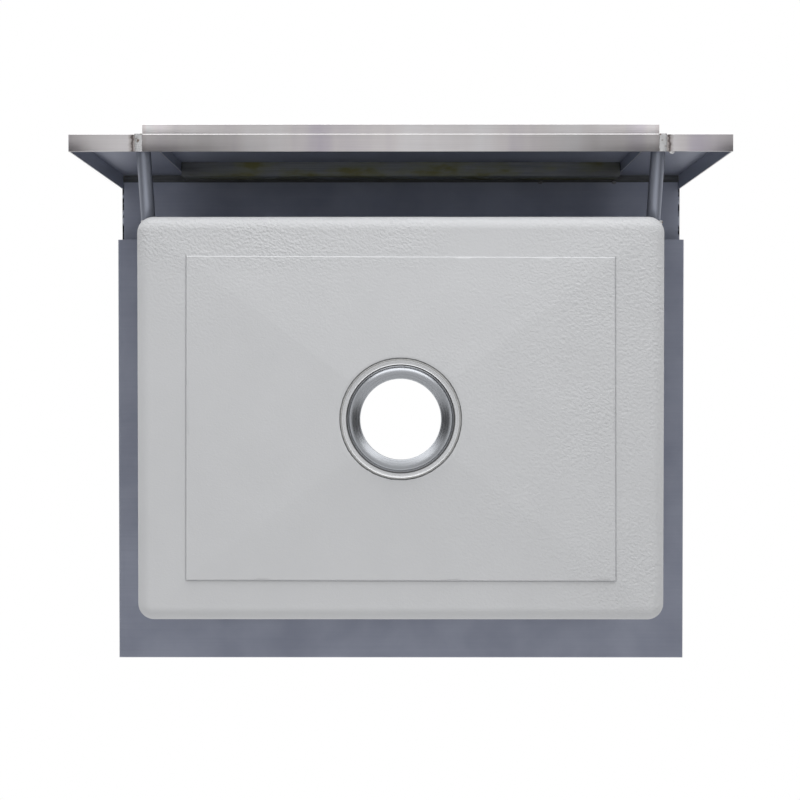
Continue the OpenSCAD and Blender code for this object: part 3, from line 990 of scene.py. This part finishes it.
class SINK_OT_welds(bpy.types.Operator):
    """Weld beads across the seams of the bottom return, and tack welds"""

    bl_idname = "sink.welds"
    bl_label = "Welds"

    def roughen(self, piece, settings, label):
        """Makes a weld's surface uneven, as the molten metal froze."""
        lumps = bpy.data.textures.new(f"weld_lumps_{label}", "CLOUDS")
        lumps.noise_scale = 3 * MM
        lumps.noise_depth = 1
        apply_modifier(piece, "SUBSURF", levels=2, render_levels=2)
        apply_modifier(piece, "DISPLACE", texture=lumps, texture_coords="OBJECT", strength=settings.wander,
                       mid_level=0.5, direction="NORMAL")
        smooth(piece, 60)

    def bead(self, settings, node, name):
        """A bead along Y: a flattened bar that is drawn in between its ripples."""
        low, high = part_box(node)
        middle = Vector(((low.x + high.x) / 2, (low.y + high.y) / 2, high.z))
        size = high - low
        deselect()
        bpy.ops.mesh.primitive_cylinder_add(
            vertices=20, radius=0.5, depth=1, location=middle, rotation=(math.radians(90), 0, 0),
            scale=(size.x, 2 * settings.rise, size.y))
        piece = bpy.context.object
        piece.name = piece.data.name = name
        settle(piece)
        # a crest and a hollow for each ripple
        count = 2 * round(size.y / settings.ripple)
        rows = [low.y + size.y * (i + 0.5) / count for i in range(count)]
        pick(piece, "polygons")
        for row in rows:
            bpy.ops.mesh.select_all(action="SELECT")
            bpy.ops.mesh.bisect(plane_co=(0, row, 0), plane_no=(0, 1, 0))
        close(piece)
        for i, row in enumerate(rows):
            pick(piece, "vertices", lambda at: near(at.y, row))
            shares = (0.92, 1, 0.6) if i % 2 else (1.0, 1, 1.1)
            shift = 0.35 * settings.ripple * noise.noise(Vector((i * 0.9, middle.x * 30, 0)))
            bpy.ops.transform.resize(value=shares, center_override=middle)
            bpy.ops.transform.translate(value=(shift, 0, 0))
            close(piece)
        self.roughen(piece, settings, name)
        return piece

    def tack(self, settings):
        """A tack weld at the origin: a flattened drop with a dished crown."""
        deselect()
        bpy.ops.mesh.primitive_uv_sphere_add(segments=14, ring_count=8, radius=settings.tack)
        piece = bpy.context.object
        piece.name = piece.data.name = "tack_weld"
        settle(piece)
        pick(piece, "vertices")
        bpy.ops.transform.resize(value=(1.1, 0.8, 0.45))
        close(piece)
        pick(piece, "polygons", lambda at, way: way.z < -0.93)
        bpy.ops.mesh.inset(thickness=0.2 * settings.tack)
        bpy.ops.transform.translate(value=(0, 0, 0.12 * settings.tack))
        close(piece)
        self.roughen(piece, settings, "tack")
        return piece

    def execute(self, context):
        s = context.scene.sink_weld
        metal = weld_metal("ground_weld_metal", s)
        scaled = mill_stainless("weld_metal_with_scale", s.scale, 0, 0.6)
        for node, side in (("left_seam_weld", "left"), ("right_seam_weld", "right")):
            piece = self.bead(s, node, f"{side}_ground_seam_weld")
            finish(piece, metal)
            # the grinding leaves the scale along the bead's sides
            finish(piece, scaled, lambda at, way: abs(way.x) > 0.42)
            hand_over(piece, "weld_bead", node)
        # tacks that hold the struts to the bowl and the apron, and the deck's front edge to the panel
        strut_end = STRUT[1].y - 9 * MM
        places = {
            "left_strut_tack": (-STRUT[1].x + 4 * MM, strut_end, STRUT[0].z + 30 * MM),
            "right_strut_tack": (STRUT[1].x - 1 * MM, strut_end, STRUT[0].z + 32 * MM),
            "right_return_tack": (STRUT[1].x + 4 * MM, RAIL[1].y, RAIL[0].z + 1.5 * MM),
            "deck_front_tack": (DECK[1].x / 2, DECK[0].y, DECK[1].z - 1.5 * MM),
            "deck_corner_tack": (PANEL[1].x - 5 * MM, DECK[0].y, DECK[1].z - 1.5 * MM),
        }
        pattern = self.tack(s)
        for name, place in places.items():
            piece = pattern.copy()
            piece.data = pattern.data.copy()
            piece.name = piece.data.name = name
            context.scene.collection.objects.link(piece)
            piece.location = place
            settle(piece)
            finish(piece, scaled if name.startswith("deck") else metal)
            hand_over(piece, "weld_bead")
        bpy.data.objects.remove(pattern)
        return {"FINISHED"}


class SINK_OT_stage(bpy.types.Operator):
    """Floor, lamps, world and camera"""

    bl_idname = "sink.stage"
    bl_label = "Stage"

    def add_lamp(self, name, place, width, height, power, in_metal=True):
        """A soft lamp that faces the sink, its width level, mirrored in the metal or not."""
        deselect()
        bpy.ops.object.light_add(type="AREA", location=place)
        lamp = bpy.context.object
        lamp.name = name
        lamp.data.energy = power
        lamp.data.shape = "RECTANGLE"
        lamp.data.size = width
        lamp.data.size_y = height
        lamp.rotation_euler = (Vector((0, 0, 0.1)) - Vector(place)).to_track_quat("-Z", "Y").to_euler()
        lamp.visible_camera = False
        lamp.visible_glossy = in_metal

    def add_card(self, name, place, width, height, colour):
        """A dark card that stands below and beside the sink, seen in the metal and not by the camera."""
        deselect()
        bpy.ops.mesh.primitive_plane_add(size=1)
        card = bpy.context.object
        card.name = name
        card.scale = (width, height, 1)
        card.rotation_euler = (Vector((0, 0, 0.1)) - Vector(place)).to_track_quat("Z", "Y").to_euler()
        card.location = place
        settle(card)
        material, tree, where = new_material(f"black_felt_{name}")
        # short felt fibres, which reflect next to nothing
        dress(tree, patches(tree, where, 2 * MM), [(0.3, shade(colour, 0.8)), (0.7, colour)], 1.0)
        finish(card, material)
        card.visible_camera = False

    def lay_floor(self, s):
        """A plain pale floor."""
        deselect()
        bpy.ops.mesh.primitive_plane_add(size=s.floor_size, location=(0, 0, s.floor_z))
        floor = bpy.context.object
        floor.name = "studio_floor"
        settle(floor)
        material, tree, where = new_material("painted_studio_floor")
        # matt paint, a little uneven from the roller
        dress(tree, patches(tree, where, 400 * MM), [(0.3, shade(s.floor, 0.99)), (0.7, s.floor)], 0.9)
        finish(floor, material)

    def light_world(self, context, s):
        """Even light from all round, with a plain white background for the camera and the metal."""
        world = bpy.data.worlds.new("studio_world")
        context.scene.world = world
        world.use_nodes = True
        tree = world.node_tree
        light = tree.nodes["Background"]
        light.inputs["Color"].default_value = grey(1.0)
        light.inputs["Strength"].default_value = s.world
        white = add_node(tree, "ShaderNodeBackground", {"Color": grey(1.0), "Strength": 1.0})
        path = add_node(tree, "ShaderNodeLightPath")
        seen = path.outputs["Is Camera Ray"]
        for ray in ("Is Glossy Ray", "Is Transmission Ray"):
            seen = add_node(
                tree, "ShaderNodeMath", {0: seen, 1: path.outputs[ray]}, operation="MAXIMUM").outputs[0]
        mix = add_node(tree, "ShaderNodeMixShader", {
            0: seen, 1: light.outputs["Background"], 2: white.outputs["Background"]})
        tree.links.new(mix.outputs["Shader"], tree.nodes["World Output"].inputs["Surface"])

    def aim_camera(self, context, s):
        """The camera straight below the sink, with the apron at the top of its picture."""
        deselect()
        bpy.ops.object.camera_add(location=(s.camera_x, s.camera_y, s.camera_z))
        camera = context.object
        camera.name = "view_camera"
        camera.data.sensor_width = 36
        camera.data.lens = s.view_length
        camera.data.clip_start = 0.01
        camera.data.clip_end = 100
        camera.data.dof.use_dof = False
        forward = Vector((s.lean_right, s.lean_back, 1)).normalized()
        up = Vector((0, -1, 0))
        right = forward.cross(up).normalized()
        up = right.cross(forward).normalized()
        turn = camera.rotation_euler.to_matrix()
        turn.col[0], turn.col[1], turn.col[2] = right, up, -forward
        camera.rotation_euler = turn.to_euler()
        context.scene.camera = camera

    def execute(self, context):
        s = context.scene.sink_stage
        self.lay_floor(s)
        self.add_lamp("lamp_under_front", (0.05, -1.7, -0.4), 2.6, 0.9, s.under_light)
        self.add_lamp("lamp_front_fill", (0.05, -1.72, -0.4), 2.6, 0.9, s.fill_light, False)
        self.add_lamp("lamp_under_back", (-0.05, 0.8, -1.3), 2.2, 0.8, s.back_light)
        self.add_lamp("lamp_top", (-1.2, -1.4, 2.2), 1.8, 1.8, s.top_light)
        self.add_card("card_left", (-1.25, 0.15, -1.12), 1.0, 0.9, s.card)
        self.add_card("card_right", (1.3, 0.15, -1.12), 1.0, 0.9, s.card)
        self.light_world(context, s)
        self.aim_camera(context, s)
        context.scene.view_settings.view_transform = "Standard"
        return {"FINISHED"}


class SINK_PT_panel(bpy.types.Panel):
    """Lists the sink's operators and settings in the sidebar"""

    bl_idname = "SINK_PT_panel"
    bl_label = "Mop Service Sink"
    bl_space_type = "VIEW_3D"
    bl_region_type = "UI"
    bl_category = "Sink"

    def draw(self, context):
        layout = self.layout
        for operator in OPERATORS:
            layout.operator(operator.bl_idname)
        for group in GROUPS:
            box = layout.box()
            settings = getattr(context.scene, group)
            for name in settings.__annotations__:
                box.prop(settings, name)


OPERATORS = (
    SINK_OT_deck, SINK_OT_bowl, SINK_OT_drain_ring, SINK_OT_sound_coat, SINK_OT_apron,
    SINK_OT_board, SINK_OT_struts, SINK_OT_welds, SINK_OT_stage,
)


def register():
    """Registers the settings, operators and panel."""
    for name, group in GROUPS.items():
        bpy.utils.register_class(group)
        setattr(bpy.types.Scene, name, bpy.props.PointerProperty(type=group))
    for item in OPERATORS + (SINK_PT_panel,):
        bpy.utils.register_class(item)


def unregister():
    """Removes what register added."""
    for item in reversed(OPERATORS + (SINK_PT_panel,)):
        bpy.utils.unregister_class(item)
    for name, group in GROUPS.items():
        delattr(bpy.types.Scene, name)
        bpy.utils.unregister_class(group)


def main():
    """Builds every piece in order."""
    register()
    for item in OPERATORS:
        group, name = item.bl_idname.split(".")
        getattr(getattr(bpy.ops, group), name)()


if __name__ == "__main__":
    main()
